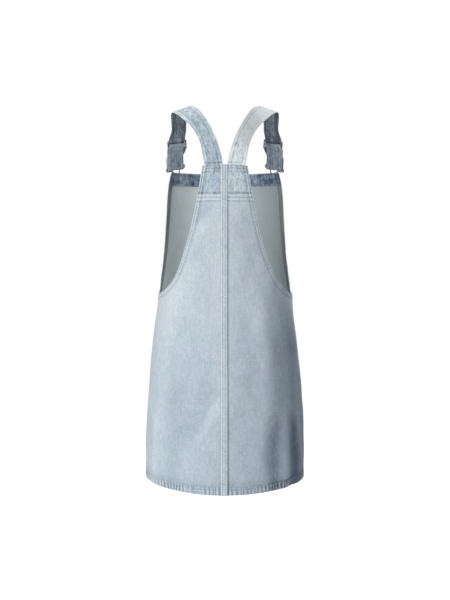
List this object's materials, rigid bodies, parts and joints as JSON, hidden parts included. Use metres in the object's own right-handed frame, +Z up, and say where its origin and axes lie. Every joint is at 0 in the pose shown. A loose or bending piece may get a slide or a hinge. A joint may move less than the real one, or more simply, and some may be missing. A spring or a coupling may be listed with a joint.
{
  "type": "denim pinafore dress",
  "caption": "Washed denim pinafore dress, filled out as worn, with a yoked back, deep armholes, a flared skirt and buckled straps that hang it from the shoulders.",
  "frame": {"origin": "midway between the two straps where they cross the tops of the shoulders", "axes": "+Z up, +Y the way the wearer faces, +X the wearer's right"},
  "size_m": [0.3588, 0.2831, 0.8394],
  "materials": {
    "denim": "light blue washed twill, with a grey wrong side and pale blue stitching",
    "denim_facing": "mottled mid-blue twill",
    "buckle_metal": "dull dark nickel"
  },
  "bodies": {
    "root": {"front_panel": "denim", "bib_facing": "denim_facing", "back_panel_left": "denim", "back_panel_right": "denim", "back_yoke_left": "denim", "back_yoke_right": "denim", "centre_back_seam": "denim", "strap_left": "denim", "strap_right": "denim", "slider_left": "buckle_metal", "slider_right": "buckle_metal", "clasp_left": "buckle_metal", "clasp_right": "buckle_metal", "button_left": "buckle_metal", "button_right": "buckle_metal"}
  },
  "joints": []
}
